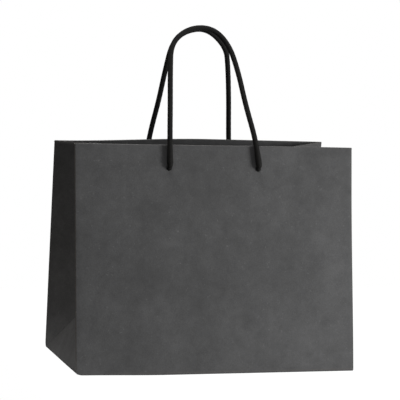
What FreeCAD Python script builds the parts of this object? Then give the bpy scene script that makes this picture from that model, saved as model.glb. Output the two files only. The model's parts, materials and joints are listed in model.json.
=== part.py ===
"""Rope-handled paper gift bag, standing open: +X to its right, +Y to its back, +Z up, origin under its middle.

The bag is one folded and glued sheet of heavy paper, so each face between two creases is a node of its own:
the front, the back (creased across, so that the bag folds flat), the gussets that fold in at the sides, the
flaps glued into the bottom and the turned-in hems. Two strips of card stiffen the rim, a loose board stiffens
the bottom, and two rope handles pass through punched holes and are knotted inside. Millimetres.
"""
import FreeCAD, Part
import math
import os

V = FreeCAD.Vector

# The bag as its maker gives it
WIDTH = 320.0
DEPTH = 140.0
HEIGHT = 250.0           # along a wall, from the floor to the rim
LEAN = 5.9               # degrees by which the front and the back lean in towards each other
PAPER = 0.4
GAP = 0.05               # between glued layers

# The bottom: a tray of folded flaps, from whose rim the walls are creased
TRAY = 2.4               # height of the flaps' turned-up edge
CREASE_Z = 3.2           # height of the crease line, clear above the board
FLAP_OVERLAP = 18.0      # each long flap reaches this far past the middle
END_FLAP = 66.0
END_FLAP_Z = 0.95
BOARD_BOTTOM = 1.3
BOARD_TOP = 2.4
BOARD_MARGIN = 3.0

# The rim
HEM = 48.0               # paper turned in over the card
CARD = 38.0
CARD_THICKNESS = 1.0
CARD_MARGIN = 7.0        # from the bag's side edges
HEM_MARGIN = 4.5
HOLE_RADIUS = 3.2
HOLE_DROP = 25.0         # below the rim
HOLES_X = (-54.0, 46.0)  # a hand's width apart, a little left of the middle

# The glued side seam, inside the back near its left edge
SEAM_MARGIN = 2.5
SEAM_WIDTH = 15.0

# The rope
ROPE = 5.8
ROPE_CLEAR = 0.35        # between the rope and the paper outside
KNOT_RADIUS = 6.3
KNOT_CLEAR = 0.3
TAIL = 19.0              # from the knot's middle
BEND_ROUNDING = 0.45     # share of the shorter run that an arc takes up on each side of its point
ARCH_RISE = 15.0         # a handle's arch turns on its legs this far above the holes
ARCH_GAP = 1.4           # room for it to turn in
HANDLE_TOP = 381.0       # height at which the two handles would touch
RIM_BEND = 258.0         # height at which a handle turns in towards the other

# Each handle's route as (x, z), between its two holes
FRONT_ROUTE = [
    (-60.5, RIM_BEND), (-59.5, 293.0), (-57.3, 328.0), (-54.5, 358.5), (-32.6, 375.6),
    (-5.0, 377.0), (13.4, 359.6), (22.2, 330.0), (28.1, 295.0), (37.1, RIM_BEND),
]
BACK_ROUTE = [
    (-54.1, RIM_BEND), (-50.5, 291.0), (-48.8, 325.0), (-45.8, 358.1), (-32.6, 372.1),
    (-7.8, 376.1), (18.6, 355.6), (25.0, 333.0), (32.7, 297.0), (39.8, RIM_BEND),
]

HALF_WIDTH = WIDTH / 2
HALF_DEPTH = DEPTH / 2
WALL = HEIGHT - CREASE_Z             # length of a wall above its crease
CROSS_CREASE = HALF_DEPTH - CREASE_Z # where the back's crosswise crease is, along the wall
HOLE_V = WALL - HOLE_DROP
SINE = math.sin(math.radians(LEAN))
COSINE = math.cos(math.radians(LEAN))
FRONT, BACK = -1, 1
CARD_IN = PAPER + GAP                # depths inside the wall's outer face
HEM_IN = CARD_IN + CARD_THICKNESS + GAP
LINING = HEM_IN + PAPER
PIVOT_OUT = ROPE / 2 + ROPE_CLEAR    # a handle turns about this far outside the paper
GUSSET_IN = PAPER + 0.3              # gussets start this far inside a wall's outer face
FACET_MARGIN = 1.0                   # a gusset's faces are drawn in from their corners
HEM_FACET_MARGIN = 2.0


def on_wall(side, x, along, inward):
    """A point of the front or back wall: along it from its crease, and inward from its outer face."""
    return V(
        x,
        side * (HALF_DEPTH - along * SINE - inward * COSINE),
        CREASE_Z + along * COSINE - inward * SINE,
    )


def face_of(points):
    return Part.Face(Part.makePolygon(points + points[:1]))


def wall_strip(side, profile, x_from, x_to):
    """A closed (along, inward) outline on a wall, run from one x to another."""
    outline = face_of([on_wall(side, x_from, along, inward) for along, inward in profile])
    return outline.extrude(V(x_to - x_from, 0, 0))


def wall_sheet(side, along_from, along_to, inward, thickness, x_from, x_to):
    profile = [
        (along_from, inward),
        (along_to, inward),
        (along_to, inward + thickness),
        (along_from, inward + thickness),
    ]
    return wall_strip(side, profile, x_from, x_to)


def inward_normal(side):
    return V(0, -side * COSINE, -SINE)


def punched(shape, side):
    """The sheet with both of its handle holes."""
    depth = 6.0
    for x in HOLES_X:
        start = on_wall(side, x, HOLE_V, -depth / 2)
        shape = shape.cut(Part.makeCylinder(HOLE_RADIUS, depth, start, inward_normal(side)))
    return shape


def hem(side):
    """Paper folded over the rim and down inside it, over the card."""
    top = WALL
    profile = [
        (top, CARD_IN),
        (top, LINING),
        (top - HEM, LINING),
        (top - HEM, HEM_IN),
        (top - PAPER, HEM_IN),
        (top - PAPER, CARD_IN),
    ]
    return punched(wall_strip(side, profile, HEM_MARGIN - HALF_WIDTH, HALF_WIDTH - HEM_MARGIN), side)


def card(side):
    top = WALL - PAPER - GAP - 0.3
    reach = HALF_WIDTH - CARD_MARGIN
    sheet = wall_sheet(side, top - CARD, top, CARD_IN, CARD_THICKNESS, -reach, reach)
    return punched(sheet, side)


def wall_nodes():
    crease_gap = PAPER
    seam_from = SEAM_MARGIN - HALF_WIDTH
    seam_to = seam_from + SEAM_WIDTH
    upper_from = CROSS_CREASE + crease_gap
    lower_to = CROSS_CREASE - crease_gap
    front = wall_sheet(FRONT, 0, WALL, 0, PAPER, -HALF_WIDTH, HALF_WIDTH)
    upper = wall_sheet(BACK, upper_from, WALL, 0, PAPER, -HALF_WIDTH, HALF_WIDTH)
    return {
        "front_panel": punched(front, FRONT),
        "back_panel_upper": punched(upper, BACK),
        "back_panel_lower": wall_sheet(BACK, 0, lower_to, 0, PAPER, -HALF_WIDTH, HALF_WIDTH),
        "front_hem": hem(FRONT),
        "back_hem": hem(BACK),
        "front_card": card(FRONT),
        "back_card": card(BACK),
        "seam_flap_lower": wall_sheet(BACK, 2, lower_to, CARD_IN, PAPER, seam_from, seam_to),
        "seam_flap_upper": wall_sheet(BACK, upper_from, WALL - HEM - 1, CARD_IN, PAPER, seam_from, seam_to),
    }


def facet(points, margin, depth, inside):
    """A flat sheet drawn in from its corners, set this far in, on the side that the inside vector points to."""
    middle = sum(points, V()) / len(points)
    drawn_in = [p + (middle - p).normalize() * margin for p in points]
    normal = (drawn_in[1] - drawn_in[0]).cross(drawn_in[2] - drawn_in[0]).normalize()
    if normal.dot(inside) < 0:
        normal = -normal
    return face_of([p + normal * depth for p in drawn_in]).extrude(normal * PAPER)


def folded_sheet(hinge, apex, first, second, inside):
    """Two triangles on a shared diagonal, as one sheet; the diagonal runs from hinge to apex."""
    middle = (hinge + apex + first + second) / 4
    hinge, apex, first, second = [
        p + (middle - p).normalize() * FACET_MARGIN for p in (hinge, apex, first, second)
    ]
    through = (apex - hinge).cross(first - second).normalize()
    if through.dot(inside) < 0:
        through = -through
    halves = [face_of([hinge, apex, p]).extrude(through * PAPER) for p in (first, second)]
    return halves[0].fuse(halves[1]).removeSplitter()


def gusset_nodes(side_name, side_x):
    """One side: it folds in along its middle crease, which ends in the bottom triangle's apex."""
    edge_x = side_x * (HALF_WIDTH - 0.3)
    front_foot = on_wall(FRONT, edge_x, 0.5, GUSSET_IN)
    back_foot = on_wall(BACK, edge_x, 0.5, GUSSET_IN)
    front_top = on_wall(FRONT, edge_x, WALL, GUSSET_IN)
    back_top = on_wall(BACK, edge_x, WALL, GUSSET_IN)
    back_crease = on_wall(BACK, edge_x, CROSS_CREASE, GUSSET_IN)

    # The apex is half the depth from the bottom crease, and half the depth from each side edge.
    apex_gap = HALF_DEPTH - CROSS_CREASE * SINE
    apex_in = math.sqrt(HALF_DEPTH ** 2 - apex_gap ** 2)
    apex = V(side_x * (HALF_WIDTH - apex_in), 0, CREASE_Z + math.sqrt(HALF_DEPTH ** 2 - apex_in ** 2))
    top_gap = HALF_DEPTH - WALL * SINE
    crease_in = math.sqrt(HALF_DEPTH ** 2 - top_gap ** 2)
    crease_rise = math.sqrt((HEIGHT - HALF_DEPTH) ** 2 - (crease_in - apex_in) ** 2)
    crease_top = V(side_x * (HALF_WIDTH - crease_in), 0, apex.z + crease_rise)

    # The front and back halves part at the middle crease.
    ahead, behind = V(0, -0.4, 0), V(0, 0.4, 0)
    inside = V(-side_x, 0, 0.3)
    hem_in = 0.3 + PAPER
    front_share = 1 - HEM / HEIGHT
    back_share = 1 - HEM / (HEIGHT - HALF_DEPTH)
    front_hem = [
        front_top,
        crease_top + ahead,
        front_foot + (crease_top + ahead - front_foot) * front_share,
        front_foot + (front_top - front_foot) * front_share,
    ]
    back_hem = [
        back_top,
        crease_top + behind,
        back_crease + (crease_top + behind - back_crease) * back_share,
        back_crease + (back_top - back_crease) * back_share,
    ]
    return {
        f"{side_name}_gusset_base": facet([front_foot, back_foot, apex], FACET_MARGIN, 0, inside),
        f"{side_name}_gusset_front": folded_sheet(
            front_foot, crease_top + ahead, front_top, apex + ahead, inside
        ),
        f"{side_name}_gusset_corner": facet(
            [back_foot, back_crease, apex + behind], FACET_MARGIN, 0, inside
        ),
        f"{side_name}_gusset_back": folded_sheet(
            back_crease, crease_top + behind, back_top, apex + behind, inside
        ),
        f"{side_name}_gusset_front_hem": facet(front_hem, HEM_FACET_MARGIN, hem_in, inside),
        f"{side_name}_gusset_back_hem": facet(back_hem, HEM_FACET_MARGIN, hem_in, inside),
    }


def bottom_nodes():
    """The long flaps lap over each other under the end flaps, and the board lies on them all."""
    step = FLAP_OVERLAP + 0.5
    lapped = PAPER + 0.1
    front_outline = [
        (-HALF_DEPTH, TRAY), (-HALF_DEPTH, 0), (FLAP_OVERLAP, 0),
        (FLAP_OVERLAP, PAPER), (PAPER - HALF_DEPTH, PAPER), (PAPER - HALF_DEPTH, TRAY),
    ]
    back_outline = [
        (HALF_DEPTH, TRAY), (HALF_DEPTH, 0), (step + 1, 0), (step, lapped),
        (-FLAP_OVERLAP, lapped), (-FLAP_OVERLAP, lapped + PAPER), (step - 0.4, lapped + PAPER),
        (step + 0.6, PAPER), (HALF_DEPTH - PAPER, PAPER), (HALF_DEPTH - PAPER, TRAY),
    ]
    nodes = {}
    for name, outline in (("front", front_outline), ("back", back_outline)):
        profile = face_of([V(-HALF_WIDTH, y, z) for y, z in outline])
        nodes[f"{name}_bottom_flap"] = profile.extrude(V(WIDTH, 0, 0))
    for name, side_x in (("left", -1), ("right", 1)):
        outer, inner = side_x * HALF_WIDTH, side_x * (HALF_WIDTH - PAPER)
        end = side_x * (HALF_WIDTH - END_FLAP)
        flap_top = BOARD_BOTTOM - GAP
        y = 0.5 - HALF_DEPTH
        outline = [
            (outer, TRAY), (outer, END_FLAP_Z), (end, END_FLAP_Z),
            (end, flap_top), (inner, flap_top), (inner, TRAY),
        ]
        profile = face_of([V(x, y, z) for x, z in outline])
        nodes[f"{name}_bottom_flap"] = profile.extrude(V(0, -2 * y, 0))
    reach_x, reach_y = HALF_WIDTH - BOARD_MARGIN, HALF_DEPTH - BOARD_MARGIN
    thickness = BOARD_TOP - BOARD_BOTTOM
    nodes["base_board"] = Part.makeBox(
        2 * reach_x, 2 * reach_y, thickness, V(-reach_x, -reach_y, BOARD_BOTTOM)
    )
    return nodes


def handle_points(side, route):
    """The route in space: up the wall from one hole, in to the other handle, and down to the other hole."""
    clear = ROPE / 2 + ROPE_CLEAR
    starts = [on_wall(side, x, HOLE_V + clear, -PIVOT_OUT) for x in HOLES_X]
    along = (RIM_BEND - starts[0].z) / COSINE + HOLE_V + clear
    bend_y = on_wall(side, 0, along, -PIVOT_OUT).y
    top_y = side * (ROPE / 2 + GAP * 6)
    slope = (top_y - bend_y) / (HANDLE_TOP - RIM_BEND)
    middle = [V(x, bend_y + slope * (z - RIM_BEND), z) for x, z in route]
    return [starts[0]] + middle + [starts[1]]


def rounded_path(points):
    """Straight runs joined by tangent arcs, with the arcs' radii."""
    edges, radii = [], []
    start = points[0]
    for before, corner, after in zip(points, points[1:], points[2:]):
        arriving, leaving = corner - before, after - corner
        take = BEND_ROUNDING * min(arriving.Length, leaving.Length)
        arriving.normalize()
        leaving.normalize()
        turn = math.atan2(arriving.cross(leaving).Length, arriving.dot(leaving))
        radius = take / math.tan(turn / 2)
        arc_from, arc_to = corner - arriving * take, corner + leaving * take
        towards_centre = (leaving - arriving).normalize()
        arc_middle = corner + towards_centre * (radius / math.cos(turn / 2) - radius)
        edges.append(Part.LineSegment(start, arc_from).toShape())
        edges.append(Part.Arc(arc_from, arc_middle, arc_to).toShape())
        radii.append(radius)
        start = arc_to
    edges.append(Part.LineSegment(start, points[-1]).toShape())
    return Part.Wire(edges), radii


def handle(side, route, name):
    """The whole handle outside the paper, parted into its arch and its two legs just below the rim."""
    points = handle_points(side, route)
    path, radii = rounded_path(points)
    section = Part.Wire(Part.makeCircle(ROPE / 2, points[0], points[1] - points[0]))
    rope = path.makePipeShell([section], True, True)
    expected = math.pi * ROPE ** 2 / 4 * path.Length
    print(name, "length %.0f mm, volume / expected %.3f" % (path.Length, rope.Volume / expected))
    print(name, "radii", " ".join("%.0f" % r for r in radii))
    for x in HOLES_X:
        pivot = on_wall(side, x, HOLE_V, -PIVOT_OUT)
        foot = Part.makeCylinder(ROPE / 2, ROPE / 2 + ROPE_CLEAR, pivot, V(0, -side * SINE, COSINE))
        rope = rope.fuse(foot).fuse(Part.makeSphere(ROPE / 2, pivot))
    parting = HOLE_V + ARCH_RISE
    reach = 75.0
    low, high = parting - ARCH_GAP / 2, parting + ARCH_GAP / 2
    slot = wall_sheet(side, low, high, -PIVOT_OUT - ROPE, 2 * ROPE, -reach, reach)
    pieces = sorted(rope.cut(slot).Solids, key=lambda solid: solid.Volume)
    legs, arch = Part.makeCompound(pieces[:-1]), pieces[-1]
    return {f"{name}_legs": legs, f"{name}_arch": arch}


def knots(side):
    """The rope through each hole, its knot against the hem and its cut end, tucked to one side."""
    tied = []
    centre_in = LINING + KNOT_CLEAR + KNOT_RADIUS
    for x in HOLES_X:
        outward = math.copysign(1, x) * -side
        hole = on_wall(side, x, HOLE_V, 0)
        centre = on_wall(side, x, HOLE_V, centre_in)
        tail_end = on_wall(side, x + outward * TAIL * 0.8, HOLE_V - TAIL * 0.6, centre_in)
        through = Part.makeCylinder(ROPE / 2, centre_in, hole, inward_normal(side))
        tail = Part.makeCylinder(ROPE / 2, TAIL, centre, tail_end - centre)
        tied.append(Part.makeSphere(KNOT_RADIUS, centre).fuse(through).fuse(tail))
    return Part.makeCompound(tied)


def main():
    nodes = {}
    nodes.update(bottom_nodes())
    nodes.update(wall_nodes())
    nodes.update(gusset_nodes("left", -1))
    nodes.update(gusset_nodes("right", 1))
    for side, name, route in ((FRONT, "front", FRONT_ROUTE), (BACK, "back", BACK_ROUTE)):
        nodes.update(handle(side, route, f"{name}_handle"))
        nodes[f"{name}_knots"] = knots(side)
    os.makedirs("parts", exist_ok=True)
    for name, shape in nodes.items():
        shape.exportStep(f"parts/{name}.step")
        box = shape.BoundBox
        low = "%.1f %.1f %.1f" % (box.XMin, box.YMin, box.ZMin)
        high = "%.1f %.1f %.1f" % (box.XMax, box.YMax, box.ZMax)
        print(name, "valid", shape.isValid(), "solids", len(shape.Solids), low, "to", high)


main()
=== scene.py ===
"""Rope-handled paper gift bag: folded charcoal paper, card in the rim, a board in the bottom, two ropes."""
import json
import math

import bmesh
import bpy
import numpy as np
from mathutils import Matrix, Vector

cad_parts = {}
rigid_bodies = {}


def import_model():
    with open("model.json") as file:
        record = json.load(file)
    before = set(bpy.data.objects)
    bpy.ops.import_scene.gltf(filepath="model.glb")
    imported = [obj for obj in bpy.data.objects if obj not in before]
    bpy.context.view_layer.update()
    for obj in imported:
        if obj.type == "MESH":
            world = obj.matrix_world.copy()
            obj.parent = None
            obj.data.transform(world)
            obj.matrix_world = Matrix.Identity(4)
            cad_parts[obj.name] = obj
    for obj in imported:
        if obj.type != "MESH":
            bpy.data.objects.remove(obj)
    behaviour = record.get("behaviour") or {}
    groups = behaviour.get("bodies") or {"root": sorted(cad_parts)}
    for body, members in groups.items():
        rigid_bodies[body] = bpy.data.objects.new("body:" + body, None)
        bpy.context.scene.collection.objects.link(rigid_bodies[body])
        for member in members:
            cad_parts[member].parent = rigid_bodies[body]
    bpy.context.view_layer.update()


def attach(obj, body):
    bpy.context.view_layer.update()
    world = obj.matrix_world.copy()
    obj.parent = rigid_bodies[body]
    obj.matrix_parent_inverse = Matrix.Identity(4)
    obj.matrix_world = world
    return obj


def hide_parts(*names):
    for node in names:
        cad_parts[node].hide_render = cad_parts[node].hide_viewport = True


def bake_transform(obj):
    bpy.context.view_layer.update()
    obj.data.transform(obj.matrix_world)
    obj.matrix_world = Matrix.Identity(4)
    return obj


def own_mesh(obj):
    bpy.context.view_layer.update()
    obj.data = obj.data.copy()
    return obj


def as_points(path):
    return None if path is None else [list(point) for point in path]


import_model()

FRONT, BACK = -1, 1

# The bag, in metres
HALF_WIDTH = 0.160
HALF_DEPTH = 0.070
DEPTH = 2 * HALF_DEPTH
HEIGHT = 0.250
LEAN = math.radians(5.9)              # of the front and the back, towards each other
SINE, COSINE = math.sin(LEAN), math.cos(LEAN)
PAPER = 0.0004
CREASE_Z = 0.0032                     # the crease that a wall folds down at
WALL = HEIGHT - CREASE_Z              # along a wall, from its crease to the rim
CROSS_CREASE = HALF_DEPTH - CREASE_Z  # the back's crosswise crease
SPLIT = CROSS_CREASE - 0.003          # where the back's two pieces meet
HEM = 0.048
LINING = 0.0019                       # the rim's whole thickness
RIM_ROUND = LINING / 2
FOLD_ROUND = 0.0011                   # the side folds
FOOT_ROUND = 0.0014                   # the folds that the bag stands on
HEM_MARGIN = 0.0022                   # a hem stays this far inside the side folds
SIDE_TURN = 0.0005                    # a wall's paper goes on this far past its side folds
FOOT_TURN = 0.0024                    # and this far past the fold that it stands on
GUSSET_IN = 0.0013                    # a gusset's edges, inside the walls' outer faces
GUSSET_ROUND = 0.0005                 # the gussets' rim
GUSSET_BOW = 0.0010

# Rows of the walls' mesh, close together where the paper bends
ROWS_AT_FOOT = (0.0006, 0.0013, 0.0022, 0.0035)
ROWS_BELOW_RIM = (0.004, 0.002)
ROWS_AT_CREASE = (-0.003, -0.0018, -0.0010, -0.0004, 0, 0.0004, 0.0010, 0.0018, 0.003)
NEAR = 1e-5                           # closer than this is the same place

# Inside the rim, the seam and the bottom
CARD_DEPTH, CARD_THICKNESS = 0.038, 0.001
CARD_MARGIN = 0.007
CARD_IN = 0.00046
RIM_CLEARANCE = 0.00035
SEAM_MARGIN, SEAM_WIDTH = 0.0025, 0.015
SEAM_IN = 0.00045
SEAM_GAP = 0.0006                     # each side of the crosswise crease
FLAP_OVERLAP = 0.018                  # each long flap reaches this far past the middle
END_FLAP = 0.066
END_FLAP_Z = 0.00095
BOARD_TOP, BOARD_THICKNESS = 0.0024, 0.0011
BOARD_MARGIN = 0.003

# The rope and its braid
ROPE = 0.0058
HOLE_V = WALL - 0.025
HOLES_X = {FRONT: (-0.0550, 0.0477), BACK: (-0.0521, 0.0479)}
HOLE_RADIUS = 0.0032
PIVOT_OUT = ROPE / 2 + 0.00035        # a handle turns about this far outside the paper
RIM_BEND = 0.258                      # the height at which it leans in over the mouth
HANDLE_RISE = 0.0009
HANDLE_TOP = 0.381
END_SWELL = 0.18                      # how much thicker a rope is where it is bent into its hole
CUT_SWELL = 0.28                      # and at its cut end
STRANDS = 12
AROUND = 36
BRAID_STEP = 0.0006
BRAID_SLOPE = 1.15
STRAND_HEIGHT = 0.00016

# The bag has been handled: its top leans a little to one side, one back corner of the rim droops, the front of
# the rim rises towards the right, and the left end of its foot stands slightly off the floor. A span is where
# along the bag a change starts and where it is complete.
RACK = -0.006 / 0.2487
WIDER, HIGHER = 1.0085, 1.0036
BACK_SPAN = (-0.02, 0.05)
DROOP, DROOP_SPAN = 0.0056, (0.02, -0.16)
RIM_RISE, RIM_RISE_SPAN = 0.00185, (-HALF_WIDTH, HALF_WIDTH)
FOOT_SPREAD, FOOT_SPREAD_SPAN, FOOT_SPREAD_HEIGHT = 0.0022, (0.02, 0.16), 0.2
FRONT_LIFT, BACK_LIFT, LIFT_SPAN, LIFT_HEIGHT = 0.0016, 0.0020, (-0.055, -0.160), 0.0045
CORNER_SOFTNESS, CORNER_TUCK, CORNER_WIDTH, CORNER_HEIGHT = 0.0016, 0.6, 0.008, 0.009
BOW, BOW_TOP, BOW_REACH = 0.0012, 0.85, 0.03
BEND_OUT = 0.6 * BOW                  # the handles stand this much further out where they bend


def ease(value):
    value = min(max(value, 0.0), 1.0)
    return value * value * (3 - 2 * value)


def over(value, span):
    """From 0 at the span's start to 1 at its end, gently."""
    return ease((value - span[0]) / (span[1] - span[0]))


def settled(point):
    """Where a point of a neat bag ends up on this one."""
    x, y, z = point
    height = max(min(z / HEIGHT, 1.0), 0.0)
    back = over(y, BACK_SPAN)
    droop = DROOP * over(x, DROOP_SPAN) * back * height ** 1.5
    rise = RIM_RISE * over(x, RIM_RISE_SPAN) * (1 - back) * height ** 2
    low = max(1 - z / LIFT_HEIGHT, 0.0)
    lift = (FRONT_LIFT + (BACK_LIFT - FRONT_LIFT) * back) * over(x, LIFT_SPAN) * low
    beside_corner = max(1 - (x + HALF_WIDTH) / CORNER_WIDTH, 0.0)
    corner = CORNER_SOFTNESS * beside_corner ** 2 * max(1 - z / CORNER_HEIGHT, 0.0)
    spread = FOOT_SPREAD * over(x, FOOT_SPREAD_SPAN) * (1 - over(z, (0, FOOT_SPREAD_HEIGHT)))
    middle = max(1 - (x / HALF_WIDTH) ** 2, 0.0)
    bow = BOW * middle * math.sin(math.pi * min(height / BOW_TOP, 1.0)) * max(-1.0, min(1.0, y / BOW_REACH))
    return Vector((
        x * WIDER + RACK * z + spread + corner * CORNER_TUCK,
        y + bow,
        z * HIGHER - droop + rise + lift + corner,
    ))


def on_wall(side, x, along, inward):
    """A point up along the front or the back from its crease, and inward from its outer face."""
    return Vector((
        x,
        side * (HALF_DEPTH - along * SINE - inward * COSINE),
        CREASE_Z + along * COSINE - inward * SINE,
    ))


# ---------------------------------------------------------------------------------------------- shaping

def newly_added(name):
    piece = bpy.context.active_object
    piece.name = name
    piece.data.name = name
    return piece


def flat_grid(name, low, high, cells):
    """A sheet of paper in the XY plane, facing +Z, open for shaping."""
    bpy.ops.object.select_all(action="DESELECT")
    bpy.ops.mesh.primitive_grid_add(x_subdivisions=cells[0], y_subdivisions=cells[1], size=1)
    sheet = newly_added(name)
    bpy.ops.object.mode_set(mode="EDIT")
    bpy.context.tool_settings.mesh_select_mode = (True, False, False)
    bpy.ops.mesh.select_all(action="SELECT")
    bpy.ops.transform.resize(value=(high[0] - low[0], high[1] - low[1], 1))
    bpy.ops.transform.translate(value=((low[0] + high[0]) / 2, (low[1] + high[1]) / 2, 0))
    return sheet


def pick(piece, wanted):
    """In edit mode, select just the vertices whose place is wanted."""
    mesh = bmesh.from_edit_mesh(piece.data)
    for vertex in mesh.verts:
        vertex.select = wanted(vertex.co)
    mesh.select_flush_mode()
    bmesh.update_edit_mesh(piece.data)


def pick_faces(piece, wanted):
    """In edit mode, select just the faces whose middle is wanted."""
    mesh = bmesh.from_edit_mesh(piece.data)
    for vertex in mesh.verts:
        vertex.select = False
    mesh.select_flush_mode()
    for face in mesh.faces:
        if wanted(face.calc_center_median()):
            face.select_set(True)
    bmesh.update_edit_mesh(piece.data)


def extrude(*moves):
    for move in moves:
        bpy.ops.mesh.extrude_region_move(TRANSFORM_OT_translate={"value": move})


def crease_row(along):
    """Cut a row of edges straight across a sheet that lies down."""
    bpy.ops.mesh.select_all(action="SELECT")
    bpy.ops.mesh.bisect(plane_co=(0, along, 0), plane_no=(0, 1, 0))


def split_off(piece, name, wanted):
    """The faces whose middle is wanted become a piece of their own."""
    pick_faces(piece, wanted)
    others = set(bpy.data.objects)
    bpy.ops.mesh.separate(type="SELECTED")
    part = (set(bpy.data.objects) - others).pop()
    part.name = part.data.name = name
    return part


def face_outwards(sheet, outwards):
    """Make an open sheet's faces agree, and turn them over if most of them face the other way."""
    bpy.ops.mesh.select_all(action="SELECT")
    bpy.ops.mesh.normals_make_consistent(inside=False)
    mesh = bmesh.from_edit_mesh(sheet.data)
    facing = sum((face.normal * face.calc_area() for face in mesh.faces), Vector())
    if facing.dot(outwards) < 0:
        bpy.ops.mesh.flip_normals()


def done():
    bpy.ops.object.mode_set(mode="OBJECT")


def only(piece):
    bpy.ops.object.select_all(action="DESELECT")
    piece.select_set(True)
    bpy.context.view_layer.objects.active = piece


def finish_with(piece, kind, **settings):
    """Add a modifier and apply it."""
    only(piece)
    modifier = piece.modifiers.new(kind.title(), kind)
    for name, value in settings.items():
        setattr(modifier, name, value)
    bpy.ops.object.modifier_apply(modifier=modifier.name)


def thicken(piece, even=False):
    finish_with(piece, "SOLIDIFY", thickness=PAPER, offset=-1, use_even_offset=even)


def smooth(piece, angle=35):
    only(piece)
    bpy.ops.object.shade_smooth_by_angle(angle=math.radians(angle))


def stand_up(piece, side):
    """Turn a wall that was made lying down, facing +Z, up on to its crease."""
    turn = Matrix.Rotation(math.pi / 2 - LEAN, 4, "X")
    place = Matrix.Translation((0, -HALF_DEPTH, CREASE_Z)) @ turn
    if side == BACK:
        place = Matrix.Rotation(math.pi, 4, "Z") @ place
    piece.data.transform(place)


def settle(piece):
    """Give a neat piece the shape that the handled bag has."""
    for vertex in piece.data.vertices:
        vertex.co = settled(vertex.co)
    piece.data.update()


def punch(piece, side):
    """Punch both handle holes through a sheet that still lies down."""
    bpy.ops.object.select_all(action="DESELECT")
    for x in HOLES_X[side]:
        bpy.ops.mesh.primitive_cylinder_add(
            vertices=40, radius=HOLE_RADIUS, depth=0.010, location=(-side * x, HOLE_V, -0.001)
        )
        cutter = newly_added("punch")
        bpy.ops.object.transform_apply(location=True, rotation=True, scale=True)
        finish_with(piece, "BOOLEAN", object=cutter, operation="DIFFERENCE", solver="EXACT")
        bpy.data.objects.remove(cutter)


def mark_wear(piece, worn):
    """How worn the paper is at each vertex, from 0 to 1."""
    marks = piece.data.attributes.new("wear", "FLOAT", "POINT")
    values = [worn(vertex.co) for vertex in piece.data.vertices]
    marks.data.foreach_set("value", values)


# ---------------------------------------------------------------------------------------------- finishes

class Finish:
    """A material's nodes, added one at a time."""

    def __init__(self, name):
        self.material = bpy.data.materials.new(name)
        self.material.use_nodes = True
        self.nodes = self.material.node_tree.nodes
        self.links = self.material.node_tree.links
        self.shader = self.nodes["Principled BSDF"]
        self.place = self.node("ShaderNodeTexCoord").outputs["Object"]

    def node(self, kind, **settings):
        made = self.nodes.new(kind)
        for name, value in settings.items():
            setattr(made, name, value)
        return made

    def join(self, source, target):
        self.links.new(source, target)

    def noise(self, scale, detail=3.0, roughness=0.5, place=None):
        made = self.node("ShaderNodeTexNoise")
        made.inputs["Scale"].default_value = scale
        made.inputs["Detail"].default_value = detail
        made.inputs["Roughness"].default_value = roughness
        self.join(place or self.place, made.inputs["Vector"])
        return made.outputs["Fac"]

    def spread(self, source, low, high, from_low=0.3, from_high=0.7):
        made = self.node("ShaderNodeMapRange", clamp=True)
        self.join(source, made.inputs["Value"])
        for name, value in zip(("From Min", "From Max", "To Min", "To Max"), (from_low, from_high, low, high)):
            made.inputs[name].default_value = value
        return made.outputs["Result"]

    def math(self, operation, first, second):
        made = self.node("ShaderNodeMath", operation=operation)
        for slot, value in zip(made.inputs, (first, second)):
            if isinstance(value, (int, float)):
                slot.default_value = value
            else:
                self.join(value, slot)
        return made.outputs["Value"]

    def shade(self, colour, strength):
        """A colour made lighter and darker by a varying strength around 1."""
        made = self.node("ShaderNodeVectorMath", operation="SCALE")
        made.inputs[0].default_value = colour
        self.join(strength, made.inputs["Scale"])
        return made.outputs["Vector"]

    def mix(self, share, first, second):
        made = self.node("ShaderNodeMix", data_type="RGBA")
        self.join(share, made.inputs["Factor"])
        for slot, value in ((made.inputs[6], first), (made.inputs[7], second)):
            if isinstance(value, tuple):
                slot.default_value = (*value, 1)
            else:
                self.join(value, slot)
        return made.outputs[2]

    def bump(self, height, distance, strength=1.0, after=None):
        made = self.node("ShaderNodeBump")
        made.inputs["Strength"].default_value = strength
        made.inputs["Distance"].default_value = distance
        self.join(height, made.inputs["Height"])
        if after:
            self.join(after, made.inputs["Normal"])
        return made.outputs["Normal"]


def charcoal_paper(name="charcoal_paper", base=0.046):
    """Heavy dyed paper: cloudy, mottled, with fine fibres, and paler and browner where a fold is worn."""
    f = Finish(name)
    clouds = f.spread(f.noise(13, 4, 0.6), 0.84, 1.16)
    mottle = f.spread(f.noise(75, 6, 0.72), 0.85, 1.15)
    fibres = f.spread(f.noise(900, 4, 0.7), 0.84, 1.18)
    specks = f.spread(f.noise(330, 2, 0.5), 1.0, 1.5, 0.67, 0.78)
    tone = f.math("MULTIPLY", f.math("MULTIPLY", clouds, mottle), f.math("MULTIPLY", fibres, specks))
    colour = f.shade((base, base, base * 1.01), tone)
    wear = f.node("ShaderNodeAttribute", attribute_name="wear").outputs["Fac"]
    scuffs = f.spread(f.noise(260, 4, 0.7), 0.15, 1.0, 0.35, 0.62)
    colour = f.mix(f.math("MULTIPLY", wear, scuffs), colour, (0.085, 0.075, 0.066))
    f.join(colour, f.shader.inputs["Base Color"])
    f.join(f.spread(f.noise(60, 4), 0.60, 0.74), f.shader.inputs["Roughness"])
    f.shader.inputs["Specular IOR Level"].default_value = 0.15
    coarse = f.bump(f.noise(110, 4, 0.6), 0.00025, 0.5)
    f.join(f.bump(f.noise(1100, 3, 0.6), 0.00006, 0.6, after=coarse), f.shader.inputs["Normal"])
    return f.material


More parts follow.
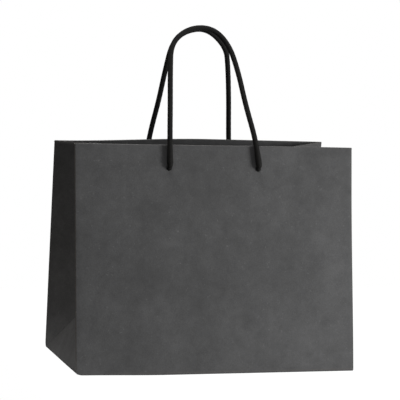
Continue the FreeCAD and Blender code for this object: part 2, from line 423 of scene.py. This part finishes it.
def grey_card():
    """Uncoated grey card with darker recycled flecks."""
    f = Finish("grey_card")
    tone = f.spread(f.noise(420, 4, 0.7), 0.86, 1.08)
    colour = f.shade((0.30, 0.275, 0.24), tone)
    flecks = f.spread(f.noise(900, 2), 0.0, 0.6, 0.66, 0.74)
    f.join(f.mix(flecks, colour, (0.12, 0.11, 0.10)), f.shader.inputs["Base Color"])
    f.join(f.spread(f.noise(300, 3), 0.82, 0.92), f.shader.inputs["Roughness"])
    f.join(f.bump(f.noise(700, 3), 0.0001, 0.5), f.shader.inputs["Normal"])
    return f.material


def black_rope():
    """Braided black cotton: each strand's threads run along it, with stray fibres."""
    f = Finish("black_rope")
    along = f.node("ShaderNodeUVMap", uv_map="lay").outputs["UV"]
    threads = f.noise(1.0, 2, 0.5, place=along)
    fuzz = f.noise(2600, 3, 0.6)
    tone = f.math("MULTIPLY", f.spread(threads, 0.75, 1.25), f.spread(fuzz, 0.85, 1.2))
    f.join(f.shade((0.0062, 0.0060, 0.0056), tone), f.shader.inputs["Base Color"])
    f.join(f.spread(fuzz, 0.72, 0.9), f.shader.inputs["Roughness"])
    f.shader.inputs["Specular IOR Level"].default_value = 0.12
    strands = f.bump(threads, 0.0002, 0.6)
    f.join(f.bump(fuzz, 0.0001, 0.4, after=strands), f.shader.inputs["Normal"])
    return f.material


PAPER_FINISH = charcoal_paper()
BOARD_FINISH = charcoal_paper("charcoal_board", 0.040)
CARD_FINISH = grey_card()
ROPE_FINISH = black_rope()


def stand_for(node, piece, material, slot):
    """Finish a piece that takes a part's place."""
    piece.name = piece.data.name = f"{node}_{slot}"
    piece.data.materials.clear()
    piece.data.materials.append(material)
    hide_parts(node)


# ---------------------------------------------------------------------------------------------- the walls

def below_crease(inward, up):
    """A point near the foot, measured from the crease straight in and straight up, on a wall that lies down."""
    return Vector((0, SINE * inward + COSINE * up, -COSINE * inward + SINE * up))


def roll_edges(sheet):
    """Roll both side edges over towards the gussets."""
    edge = HALF_WIDTH - FOLD_ROUND
    for hand in (-1, 1):
        pick(sheet, lambda co: abs(co.x - hand * edge) < NEAR)
        bpy.ops.mesh.spin(
            steps=4, angle=-hand * math.pi / 2, center=(hand * edge, 0, -FOLD_ROUND), axis=(0, 1, 0)
        )
        pick(sheet, lambda co: co.z < -FOLD_ROUND + NEAR and co.x * hand > edge)
        extrude((0, 0, -SIDE_TURN))


def turn_foot_under(sheet):
    """From the crease down to the floor, round under the bag and a little way in."""
    drop_steps, turn_steps = 4, 2
    drop = FOOT_ROUND - CREASE_Z
    pick(sheet, lambda co: co.y < NEAR)
    extrude(*[tuple(below_crease(0, drop) / drop_steps)] * drop_steps)
    centre = below_crease(FOOT_ROUND, drop)
    bpy.ops.mesh.spin(steps=6, angle=-math.pi / 2, center=tuple(centre), axis=(1, 0, 0))
    extrude(*[tuple(below_crease(FOOT_TURN, 0) / turn_steps)] * turn_steps)


def fold_rim_over(sheet):
    """Over the rim and down inside it as the hem."""
    top = WALL - RIM_ROUND
    pick(sheet, lambda co: co.y > top - NEAR)
    bpy.ops.mesh.spin(steps=8, angle=math.pi, center=(0, top, -RIM_ROUND), axis=(1, 0, 0))
    reach = HALF_WIDTH - HEM_MARGIN
    pick(sheet, lambda co: abs(co.y - top) < NEAR and co.z < -LINING + NEAR and abs(co.x) < reach)
    hem_steps = 11
    extrude(*[(0, -(HEM - RIM_ROUND) / hem_steps, 0)] * hem_steps)


def wall_sheet(side, name):
    """One wall's paper from under the foot to the end of the hem, lying down."""
    reach = HALF_WIDTH - FOLD_ROUND
    sheet = flat_grid(name, (-reach, 0), (reach, WALL - RIM_ROUND), (66, 50))
    rows = [*ROWS_AT_FOOT, *(WALL - below for below in ROWS_BELOW_RIM)]
    if side == BACK:
        rows += [CROSS_CREASE + offset for offset in ROWS_AT_CREASE]
    for along in rows:
        crease_row(along)
    roll_edges(sheet)
    turn_foot_under(sheet)
    fold_rim_over(sheet)
    bpy.ops.mesh.select_all(action="SELECT")
    bpy.ops.mesh.remove_doubles(threshold=2e-6)
    face_outwards(sheet, Vector((0, 0, 1)))
    return sheet


def rubbed(distance, strength, width):
    """Wear along a line, less the further from it."""
    return strength - abs(distance) / width


def worn_folds(side):
    """Wear along a wall's rim, its side folds, its foot and, at the back, its crosswise crease."""
    def worn(co):
        rim = rubbed(co.y - WALL, 0.45, 0.0018)
        fold = min((abs(co.x) - (HALF_WIDTH - 0.0007)) / 0.0005, 1) * (1 if co.z > -FOLD_ROUND else 0.3)
        foot = 0.6 * min(1 + co.y / 0.0016, 1) if co.y < 0 else 0
        outside_back = side == BACK and co.z > -0.001
        crease = rubbed(co.y - CROSS_CREASE, 0.8, 0.0012) if outside_back else 0
        return min(max(rim, fold, foot, crease, 0), 1)
    return worn


def make_wall(side, name):
    """A wall with its turned-in hem; the back is parted at its crosswise crease."""
    sheet = wall_sheet(side, f"{name}_panel")
    below_rim = WALL - RIM_ROUND
    hem = split_off(sheet, f"{name}_hem", lambda co: co.z < -LINING + NEAR and WALL / 2 < co.y < below_rim)
    pieces = {f"{name}_hem": hem}
    if side == BACK:
        pieces["back_panel_lower"] = split_off(sheet, "back_panel_lower", lambda co: co.y < SPLIT)
    done()
    pieces["front_panel" if side == FRONT else "back_panel_upper"] = sheet
    for node, piece in pieces.items():
        mark_wear(piece, worn_folds(side))
        thicken(piece)
        if node != "back_panel_lower":
            punch(piece, side)
        stand_up(piece, side)
        smooth(piece)
        settle(piece)
        stand_for(node, piece, PAPER_FINISH, "paper")
    return pieces


front = make_wall(FRONT, "front")
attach(front["front_hem"], "front_wall")
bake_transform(front["front_panel"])

back = make_wall(BACK, "back")
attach(back["back_hem"], "back_upper_wall")
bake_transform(back["back_panel_lower"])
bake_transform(back["back_panel_upper"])


# ---------------------------------------------------------------------------------------------- the gussets

def gusset_corners(hand):
    """Where the corners of one gusset's creases are; hand is -1 at the left and +1 at the right."""
    edge_x = hand * (HALF_WIDTH - 0.0001)
    apex_gap = HALF_DEPTH - CROSS_CREASE * SINE
    apex_in = math.sqrt(HALF_DEPTH ** 2 - apex_gap ** 2)
    apex = Vector((hand * (HALF_WIDTH - apex_in), 0, CREASE_Z + math.sqrt(HALF_DEPTH ** 2 - apex_in ** 2)))
    top_gap = HALF_DEPTH - WALL * SINE
    top_in = math.sqrt(HALF_DEPTH ** 2 - top_gap ** 2)
    rise = math.sqrt((HEIGHT - HALF_DEPTH) ** 2 - (top_in - apex_in) ** 2)
    return {
        "front_foot": on_wall(FRONT, edge_x, 0, GUSSET_IN),
        "back_foot": on_wall(BACK, edge_x, 0, GUSSET_IN),
        "front_top": on_wall(FRONT, edge_x, WALL, GUSSET_IN),
        "back_top": on_wall(BACK, edge_x, WALL, GUSSET_IN),
        "back_crease": on_wall(BACK, edge_x, CROSS_CREASE, GUSSET_IN),
        "apex": apex,
        "top": Vector((hand * (HALF_WIDTH - top_in), 0, apex.z + rise)),
    }


def folded(corners, across, up):
    """Where a point of the gusset's flat paper is once folded: across from front to back, up from the foot."""
    c = corners
    beside = min(across, DEPTH - across)
    if up <= beside:
        share_apex = max(up, 0) / HALF_DEPTH
        share_back = (across - up) / DEPTH
        share_front = 1 - share_apex - share_back
        return c["apex"] * share_apex + c["back_foot"] * share_back + c["front_foot"] * share_front
    if across <= HALF_DEPTH:
        outer = c["front_foot"].lerp(c["front_top"], up / HEIGHT)
        if up < HALF_DEPTH:
            return outer.lerp(c["front_foot"].lerp(c["apex"], up / HALF_DEPTH), across / up)
        inner = c["apex"].lerp(c["top"], (up - HALF_DEPTH) / (HEIGHT - HALF_DEPTH))
        return outer.lerp(inner, across / HALF_DEPTH)
    if up < HALF_DEPTH:
        share_apex = (DEPTH - across) / HALF_DEPTH
        share_crease = up / HALF_DEPTH - share_apex
        share_foot = 1 - share_apex - share_crease
        return c["apex"] * share_apex + c["back_crease"] * share_crease + c["back_foot"] * share_foot
    share = (up - HALF_DEPTH) / (HEIGHT - HALF_DEPTH)
    outer = c["back_crease"].lerp(c["back_top"], share)
    inner = c["apex"].lerp(c["top"], share)
    return outer.lerp(inner, (DEPTH - across) / HALF_DEPTH)


def crease_gusset(sheet):
    """Crease the flat gusset: down its middle, along both diagonals and across its back."""
    def bisect(wanted, through, across):
        pick_faces(sheet, wanted)
        bpy.ops.mesh.bisect(plane_co=through, plane_no=across)

    past = 0.002
    below = HALF_DEPTH + past
    for offset in (-0.0012, 0, 0.0012):
        bisect(lambda co: True, (HALF_DEPTH + offset, 0, 0), (1, 0, 0))
        bisect(lambda co: co.x > HALF_DEPTH - 0.001, (0, HALF_DEPTH + offset, 0), (0, 1, 0))
        bisect(lambda co: co.y < below and co.x < HALF_DEPTH + past, (offset, 0, 0), (1, -1, 0))
        bisect(lambda co: co.y < below and co.x > HALF_DEPTH - past, (DEPTH + offset, 0, 0), (1, 1, 0))
    bisect(lambda co: True, (0, HEIGHT, 0), (0, 1, 0))


def hem_depth(up):
    """How high the paper is, and how far inside the gusset's outer face: up, round the rim, down as the hem."""
    bend = HEIGHT - GUSSET_ROUND
    past = up - bend
    turn = math.pi * GUSSET_ROUND
    if past <= 0:
        return up, 0.0
    if past < turn:
        angle = past / GUSSET_ROUND
        return bend + GUSSET_ROUND * math.sin(angle), GUSSET_ROUND * (1 - math.cos(angle))
    return bend - (past - turn), 2 * GUSSET_ROUND


def fold_gusset(sheet, hand):
    """Fold the creased sheet into place, with its hem turned in and its faces slightly bowed."""
    corners = gusset_corners(hand)
    step = 0.0004

    def inward(across, up):
        total = Vector()
        for part in (across - 0.0015, across + 0.0015):
            part = min(max(part, 0.0005), DEPTH - 0.0005)
            low = max(up, 0.001)
            here = folded(corners, part, low)
            right = folded(corners, part + step, low) - here
            above = folded(corners, part, low + step) - here
            total += right.cross(above).normalized()
        total *= -1 if total.x * hand > 0 else 1
        return total.normalized()

    for vertex in sheet.data.vertices:
        across = vertex.co.x
        up, depth = hem_depth(vertex.co.y)
        place = folded(corners, across, up)
        if depth:
            place += inward(across, up) * depth
        middle = math.sin(math.pi * min(max(across, 0), DEPTH) / HALF_DEPTH)
        middle *= math.sin(math.pi * min(up / HEIGHT, 1))
        place.x += hand * GUSSET_BOW * middle * (1 if across > HALF_DEPTH else -1)
        vertex.co = place


def worn_gusset(co):
    """Wear along a gusset's rim and its middle crease."""
    crease = rubbed(co.x - HALF_DEPTH, 0.5, 0.0012) if co.y > HALF_DEPTH - 0.002 else 0
    rim = rubbed(co.y - HEIGHT, 0.45, 0.0020)
    return min(max(rim, crease, 0), 1)


def make_gusset(hand, side_name):
    """One side of the bag, parted at its creases."""
    hem_cut = HEIGHT - GUSSET_ROUND + math.pi * GUSSET_ROUND
    sheet = flat_grid(f"{side_name}_gusset", (0, 0), (DEPTH, hem_cut + HEM), (40, 80))
    crease_gusset(sheet)
    for offset in (0, 0.25, 0.5, 0.75, 1):
        crease_row(HEIGHT - GUSSET_ROUND + offset * math.pi * GUSSET_ROUND)
    bpy.ops.mesh.select_all(action="SELECT")
    bpy.ops.mesh.remove_doubles(threshold=2e-5)
    parts = {
        "front_hem": lambda co: co.y > hem_cut and co.x < HALF_DEPTH,
        "back_hem": lambda co: co.y > hem_cut,
        "front": lambda co: co.x < HALF_DEPTH and co.y > co.x,
        "base": lambda co: co.y < min(co.x, DEPTH - co.x),
        "corner": lambda co: co.y < HALF_DEPTH and co.x > HALF_DEPTH,
        "back": None,
    }
    pieces = {}
    for part, wanted in parts.items():
        name = f"{side_name}_gusset_{part}"
        if wanted:
            pieces[part] = split_off(sheet, name, wanted)
        else:
            sheet.name = sheet.data.name = name
            pieces[part] = sheet
    done()
    for part, piece in pieces.items():
        mark_wear(piece, worn_gusset)
        fold_gusset(piece, hand)
        only(piece)
        bpy.ops.object.mode_set(mode="EDIT")
        face_outwards(piece, Vector((-hand if part.endswith("hem") else hand, 0, 0)))
        done()
        thicken(piece, even=True)
        smooth(piece, 25)
        settle(piece)
        stand_for(f"{side_name}_gusset_{part}", piece, PAPER_FINISH, "paper")
    return pieces


GUSSET_RIDES = {
    "front": ("front_wall", FRONT, "front_fold"),
    "front_hem": ("front_wall", FRONT, "front_fold"),
    "back": ("back_upper_wall", BACK, "back_upper_fold"),
    "back_hem": ("back_upper_wall", BACK, "back_upper_fold"),
    "corner": ("back_lower_wall", BACK, "back_lower_fold"),
}
for hand, side_name in ((-1, "left"), (1, "right")):
    gusset = make_gusset(hand, side_name)
    for part, (body, side, joint) in GUSSET_RIDES.items():
        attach(gusset[part], body)
        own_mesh(gusset[part])
    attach(gusset["base"], "base")
    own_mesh(gusset["base"])


# ---------------------------------------------------------------------------------------- cards, seam, bottom

def flat_board(name, low, high, thickness, corner_round, cells=(24, 8)):
    """A flat sheet or board with rounded corners, lying with its upper face at z = 0."""
    board = flat_grid(name, low, high, cells)
    done()
    finish_with(board, "SOLIDIFY", thickness=thickness, offset=-1)
    only(board)
    bpy.ops.object.mode_set(mode="EDIT")
    mesh = bmesh.from_edit_mesh(board.data)
    for edge in mesh.edges:
        edge.select_set(False)
    for edge in mesh.edges:
        a, b = (v.co for v in edge.verts)
        at_side = min(abs(a.x - low[0]), abs(a.x - high[0])) < NEAR
        at_end = min(abs(a.y - low[1]), abs(a.y - high[1])) < NEAR
        if at_side and at_end and (a - b).xy.length < NEAR:
            edge.select_set(True)
    bmesh.update_edit_mesh(board.data)
    bpy.ops.mesh.bevel(offset=corner_round, segments=5, affect="EDGES")
    done()
    finish_with(board, "BEVEL", width=min(thickness * 0.3, 0.0003), segments=2, angle_limit=math.radians(50))
    return board


def make_card(side, name):
    """The strip of card that stiffens the rim, between the wall and its hem."""
    top = WALL - PAPER - RIM_CLEARANCE
    reach = HALF_WIDTH - CARD_MARGIN
    card = flat_board(
        f"{name}_card", (-reach, top - CARD_DEPTH), (reach, top), CARD_THICKNESS, 0.0015, (40, 6)
    )
    card.data.transform(Matrix.Translation((0, 0, -CARD_IN)))
    punch(card, side)
    stand_up(card, side)
    smooth(card)
    settle(card)
    stand_for(f"{name}_card", card, CARD_FINISH, "rim_card")
    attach(card, "front_wall" if side == FRONT else "back_upper_wall")


def make_seam(name, low, high, body):
    """The flap that glues the bag together, inside the back near its left edge."""
    outer = HALF_WIDTH - SEAM_MARGIN
    seam = flat_board(name, (outer - SEAM_WIDTH, low), (outer, high), PAPER, 0.0012, (5, 30))
    seam.data.transform(Matrix.Translation((0, 0, -SEAM_IN)))
    stand_up(seam, BACK)
    smooth(seam)
    settle(seam)
    stand_for(name, seam, PAPER_FINISH, "paper")
    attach(seam, body)


for side, name in ((FRONT, "front"), (BACK, "back")):
    make_card(side, name)
make_seam("seam_flap_lower", 0.002, CROSS_CREASE - SEAM_GAP, "back_lower_wall")
make_seam("seam_flap_upper", CROSS_CREASE + SEAM_GAP, WALL - HEM - 0.001, "back_upper_wall")


def make_long_flap(side, name):
    """A long bottom flap: from the foot to past the middle, the back's lapping over the front's."""
    reach = HALF_WIDTH - 0.0006
    tuck = HALF_DEPTH - 0.0034
    flap = flat_grid(f"{name}_bottom_flap", (-reach, -tuck), (reach, FLAP_OVERLAP), (48, 14))
    if side == BACK:
        for past in (0.0015, 0.0010, 0.0005, 0):
            crease_row(-FLAP_OVERLAP - past)
        pick(flap, lambda co: co.y > -FLAP_OVERLAP - 0.00075)
        bpy.ops.transform.translate(value=(0, 0, PAPER + 0.0001))
        bpy.ops.mesh.select_all(action="SELECT")
        bpy.ops.transform.rotate(value=math.pi, orient_axis="Z", center_override=(0, 0, 0))
    done()
    mark_wear(flap, lambda co: 0.5 if abs(abs(co.x) - reach) < NEAR else 0)
    finish_with(flap, "SOLIDIFY", thickness=PAPER, offset=1)
    finish_with(flap, "BEVEL", width=0.00012, segments=2, angle_limit=math.radians(50))
    smooth(flap)
    settle(flap)
    stand_for(f"{name}_bottom_flap", flap, PAPER_FINISH, "paper")
    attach(flap, "base")


def make_end_flap(hand, name):
    """An end flap, glued inside the long ones, with its turned-up edge at the gusset's foot."""
    bend = HALF_WIDTH - FOOT_ROUND
    reach = HALF_DEPTH - 0.0022
    flap = flat_grid(f"{name}_bottom_flap", (HALF_WIDTH - END_FLAP, -reach), (bend, reach), (16, 32))
    pick(flap, lambda co: co.x > bend - NEAR)
    bpy.ops.mesh.spin(steps=6, angle=-math.pi / 2, center=(bend, 0, FOOT_ROUND), axis=(0, 1, 0))
    first = 0.0006
    extrude((0, 0, first), (0, 0, CREASE_Z - first - FOOT_ROUND - END_FLAP_Z))
    done()
    flap.data.transform(Matrix.Translation((0, 0, END_FLAP_Z)))
    mark_wear(flap, lambda co: 0.8 if co.x > bend and co.z < FOOT_ROUND * 1.2 else 0)
    finish_with(flap, "SOLIDIFY", thickness=PAPER * 0.75, offset=1)
    if hand == -1:
        flap.data.transform(Matrix.Rotation(math.pi, 4, "Z"))
    smooth(flap)
    settle(flap)
    stand_for(f"{name}_bottom_flap", flap, PAPER_FINISH, "paper")
    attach(flap, "base")


for side, name in ((FRONT, "front"), (BACK, "back")):
    make_long_flap(side, name)
for hand, name in ((-1, "left"), (1, "right")):
    make_end_flap(hand, name)


def make_base_board():
    """The loose board in the bottom, a little worn round its edge."""
    reach = Vector((HALF_WIDTH - BOARD_MARGIN, HALF_DEPTH - BOARD_MARGIN))
    board = flat_board("base_board", tuple(-reach), tuple(reach), BOARD_THICKNESS, 0.003, (40, 18))
    board.data.transform(Matrix.Translation((0, 0, BOARD_TOP)))
    edge = 0.0003
    mark_wear(board, lambda co: 0.5 if abs(co.x) > reach.x - edge or abs(co.y) > reach.y - edge else 0)
    smooth(board)
    settle(board)
    stand_for("base_board", board, BOARD_FINISH, "bottom_board")
    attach(board, "base")


make_base_board()


# ---------------------------------------------------------------------------------------------- the ropes

# Each handle's route as (x, z), between its two holes
FRONT_ROUTE = [
    (-0.0621, RIM_BEND), (-0.0595, 0.293), (-0.0573, 0.328), (-0.0545, 0.3585), (-0.0326, 0.3756),
    (-0.0050, 0.3770), (0.0134, 0.3596), (0.0222, 0.330), (0.0281, 0.295), (0.0371, RIM_BEND),
]
BACK_ROUTE = [
    (-0.0541, RIM_BEND), (-0.0505, 0.291), (-0.0488, 0.325), (-0.0458, 0.3581), (-0.0326, 0.3721),
    (-0.0078, 0.3761), (0.0186, 0.3556), (0.0250, 0.333), (0.0327, 0.297), (0.0398, RIM_BEND),
]


def handle_points(side, route):
    """Out of one hole, up the wall, in to the other handle, and down to the other hole."""
    holes = [settled(on_wall(side, x, HOLE_V, -PIVOT_OUT)) for x in HOLES_X[side]]
    starts = [settled(on_wall(side, x, HOLE_V + PIVOT_OUT, -PIVOT_OUT)) for x in HOLES_X[side]]
    along = (RIM_BEND - starts[0].z) / COSINE + HOLE_V + PIVOT_OUT
    bend_y = on_wall(side, 0, along, -PIVOT_OUT).y + side * BEND_OUT
    top_y = side * (ROPE / 2 + 0.0003)
    slope = (top_y - bend_y) / (HANDLE_TOP - RIM_BEND)
    middle = [Vector((x, bend_y + slope * (z - RIM_BEND), z + HANDLE_RISE)) for x, z in route]
    return [holes[0], starts[0]] + middle + [starts[1], holes[1]]


def line_of(points, name):
    """The smooth line of a rope that is led by these points, as a list of places along it."""
    curve = bpy.data.curves.new(name, "CURVE")
    curve.dimensions = "3D"
    curve.resolution_u = 24
    spline = curve.splines.new("NURBS")
    spline.points.add(len(points) - 1)
    for control, place in zip(spline.points, points):
        control.co = (*place, 1)
    spline.use_endpoint_u = True
    spline.order_u = 3
    holder = bpy.data.objects.new(name, curve)
    mesh = bpy.data.meshes.new_from_object(holder)
    line = [vertex.co.copy() for vertex in mesh.vertices]
    bpy.data.meshes.remove(mesh)
    bpy.data.objects.remove(holder)
    bpy.data.curves.remove(curve)
    return line


def evenly(line, step):
    """The same line as places an even step apart."""
    lengths = [0.0]
    for a, b in zip(line, line[1:]):
        lengths.append(lengths[-1] + (b - a).length)
    count = max(round(lengths[-1] / step), 2)
    wanted = np.linspace(0, lengths[-1], count + 1)
    axes = [np.interp(wanted, lengths, [p[axis] for p in line]) for axis in range(3)]
    return [Vector(place) for place in zip(*axes)], lengths[-1]


def end_taper(end, gap, radius):
    """A rope's thickness this far from its end: round where it goes into a hole, frayed where it is cut."""
    if end == "frayed":
        return 1 + CUT_SWELL * (1 - gap / (radius * 1.2)) ** 2 if gap < radius * 1.2 else 1
    if gap < radius:
        return math.sqrt(max(1 - (1 - gap / radius) ** 2, 0.02))
    past = gap / radius - 1
    return 1 + END_SWELL * (ease(past) if past < 1 else 1 - ease((past - 1) / 6))


def braid(name, line, radius, ends=("round", "round")):
    """A braided tube along a line: raised diamonds where one strand passes over another."""
    places, length = evenly(line, BRAID_STEP)
    mesh = bpy.data.meshes.new(name)
    rope = bpy.data.objects.new(name, mesh)
    bpy.context.collection.objects.link(rope)
    build = bmesh.new()
    lay = build.loops.layers.uv.new("lay")
    side = (places[1] - places[0]).orthogonal().normalized()
    rings, runs = [], []
    half = STRANDS / 2
    for index, place in enumerate(places):
        before, after = places[max(index - 1, 0)], places[min(index + 1, len(places) - 1)]
        heading = (after - before).normalized()
        side = (side - heading * side.dot(heading)).normalized()
        up = heading.cross(side)
        run = index * length / (len(places) - 1)
        taper = end_taper(ends[0], run, radius) * end_taper(ends[1], length - run, radius)
        ring = []
        for spot in range(AROUND):
            angle = 2 * math.pi * spot / AROUND
            turn, climb = half * angle, half * run * BRAID_SLOPE / radius
            weave = math.cos(turn + climb) * math.cos(turn - climb)
            height = STRAND_HEIGHT * (abs(weave) ** 0.6 * 2 - 1.0)
            reach = (radius - STRAND_HEIGHT * 0.4 + height) * taper
            ring.append(build.verts.new(place + (side * math.cos(angle) + up * math.sin(angle)) * reach))
        rings.append(ring)
        runs.append(run)
    for lower, (below, above) in enumerate(zip(rings, rings[1:])):
        climb = half * (runs[lower] + BRAID_STEP / 2) * BRAID_SLOPE / radius
        for spot in range(AROUND):
            after = (spot + 1) % AROUND
            face = build.faces.new((below[spot], below[after], above[after], above[spot]))
            face.smooth = True
            turn = half * 2 * math.pi * (spot + 0.5) / AROUND
            slant = 1 if math.cos(turn + climb) * math.cos(turn - climb) > 0 else -1
            corners = ((lower, spot), (lower, spot + 1), (lower + 1, spot + 1), (lower + 1, spot))
            for loop, (ring, corner) in zip(face.loops, corners):
                wide = 2 * math.pi * radius * corner / AROUND
                loop[lay].uv = (1600 * (wide - slant * runs[ring]), 260 * (wide + slant * runs[ring]))
    for ring, flip in ((rings[0], True), (rings[-1], False)):
        cap = build.faces.new(list(reversed(ring)) if flip else ring)
        cap.smooth = False
    build.normal_update()
    build.to_mesh(mesh)
    build.free()
    return rope, places


def joined(name, pieces):
    only(pieces[0])
    for piece in pieces:
        piece.select_set(True)
    bpy.ops.object.join()
    pieces[0].name = pieces[0].data.name = name
    return pieces[0]


def make_handle(side, name, route):
    """One handle: a single rope in place of its legs and its arch, from one hole up over the mouth and down to
    the other.
    """
    rope, places = braid(f"{name}_handle_rope", line_of(handle_points(side, route), name), ROPE / 2)
    rope.data.materials.append(ROPE_FINISH)
    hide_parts(f"{name}_handle_legs", f"{name}_handle_arch")
    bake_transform(rope)
    tuple(places[0])
    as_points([tuple(place) for place in places[::4]] + [tuple(places[-1])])


def knot_line(side, x):
    """From outside one hole, through the paper, round an overhand knot and out as its cut end."""
    away = math.copysign(1, x) * -side
    depth = LINING + 0.0003

    def at(across, up, inward):
        return on_wall(side, x + away * across, HOLE_V + up, inward)

    through = [at(0, 0.0004, -PIVOT_OUT - 0.0002), at(0, 0.0002, -0.0014), at(0, 0, 0.0016)]
    first_turn = [
        at(0.0006, 0.0004, depth + 0.0034), at(0.0036, 0.0022, depth + 0.0080),
        at(0.0012, 0.0048, depth + 0.0104), at(-0.0040, 0.0034, depth + 0.0082),
        at(-0.0046, -0.0016, depth + 0.0036), at(-0.0010, -0.0046, depth + 0.0030),
    ]
    tucked_under = [
        at(0.0040, -0.0030, depth + 0.0058), at(0.0030, 0.0010, depth + 0.0100),
        at(-0.0012, 0.0004, depth + 0.0092), at(-0.0010, -0.0030, depth + 0.0066),
    ]
    cut_end = [
        at(0.0050, -0.0062, depth + 0.0062), at(0.0100, -0.0088, depth + 0.0064),
        at(0.0146, -0.0116, depth + 0.0062),
    ]
    return through + first_turn + tucked_under + cut_end


def make_knots(side, name, body):
    """The two knots that hold one handle, as one piece."""
    pieces = []
    for x in HOLES_X[side]:
        points = [settled(place) for place in knot_line(side, x)]
        rope, _ = braid(f"{name}_knot", line_of(points, "knot"), ROPE / 2 * 0.96, ends=("round", "frayed"))
        pieces.append(rope)
    knots = joined(f"{name}_knots_rope", pieces)
    knots.data.materials.clear()
    knots.data.materials.append(ROPE_FINISH)
    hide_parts(f"{name}_knots")
    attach(knots, body)


make_handle(FRONT, "front", FRONT_ROUTE)
make_handle(BACK, "back", BACK_ROUTE)
make_knots(FRONT, "front", "front_wall")
make_knots(BACK, "back", "back_upper_wall")


# ---------------------------------------------------------------------------------------------- the studio

ROOM_LIGHT = 0.1


def make_floor():
    """A small white floor that doesn't show against the room."""
    bpy.ops.object.select_all(action="DESELECT")
    bpy.ops.mesh.primitive_plane_add(size=1.1, location=(0.33, -0.1, -0.0002))
    floor = newly_added("floor")
    f = Finish("white_floor")
    f.shader.inputs["Base Color"].default_value = (0.06, 0.06, 0.06, 1)
    f.shader.inputs["Roughness"].default_value = 0.9
    f.shader.inputs["Specular IOR Level"].default_value = 0.0
    f.shader.inputs["Emission Color"].default_value = (1, 1, 1, 1)
    f.shader.inputs["Emission Strength"].default_value = 1.0
    floor.data.materials.append(f.material)


def make_room():
    """A white room that looks bright and lights the bag softly."""
    world = bpy.data.worlds.new("white_room")
    bpy.context.scene.world = world
    world.use_nodes = True
    nodes, links = world.node_tree.nodes, world.node_tree.links
    room = nodes["Background"]
    room.inputs["Color"].default_value = (1, 1, 1, 1)
    seen = nodes.new("ShaderNodeLightPath").outputs["Is Camera Ray"]
    strength = nodes.new("ShaderNodeMapRange")
    links.new(seen, strength.inputs["Value"])
    strength.inputs["To Min"].default_value = ROOM_LIGHT
    strength.inputs["To Max"].default_value = 1.0
    links.new(strength.outputs["Result"], room.inputs["Strength"])


def make_light(name, place, towards, size, power, colour=(1, 1, 1)):
    bpy.ops.object.select_all(action="DESELECT")
    bpy.ops.object.light_add(type="AREA", location=place)
    light = bpy.context.active_object
    light.name = name
    light.data.shape = "RECTANGLE"
    light.data.size, light.data.size_y = size
    light.data.energy = power
    light.data.color = colour
    light.rotation_euler = (Vector(towards) - Vector(place)).to_track_quat("-Z", "Y").to_euler()


def make_camera():
    yaw, pitch, roll = (math.radians(angle) for angle in (19.24, 6.81, -3.06))
    camera = bpy.data.objects.new("camera", bpy.data.cameras.new("camera"))
    bpy.context.collection.objects.link(camera)
    camera.data.lens = 153.6
    camera.data.sensor_width = 36
    camera.data.clip_end = 50
    turn = (
        Matrix.Rotation(-yaw, 4, "Z") @ Matrix.Rotation(math.pi / 2 - pitch, 4, "X")
        @ Matrix.Rotation(-roll, 4, "Z")
    )
    camera.matrix_world = Matrix.Translation((-0.6361, -1.8022, 0.4122)) @ turn
    bpy.context.scene.camera = camera


make_floor()
make_light("key_light", (0.80, -0.70, 0.30), (0.04, 0, 0.11), (0.4, 0.4), 14.2)
make_light("top_light", (-0.3, -0.15, 1.6), (-0.02, 0, 0.0), (0.8, 0.8), 25)
make_light("back_light", (0.5, 1.7, 0.9), (0, 0, 0.12), (0.8, 0.8), 22)
make_light("side_light", (-1.7, 0.3, 0.75), (0, 0, 0.16), (0.6, 0.6), 3.6, (1.0, 0.86, 0.72))
make_room()
bpy.context.scene.view_settings.view_transform = "Standard"
make_camera()
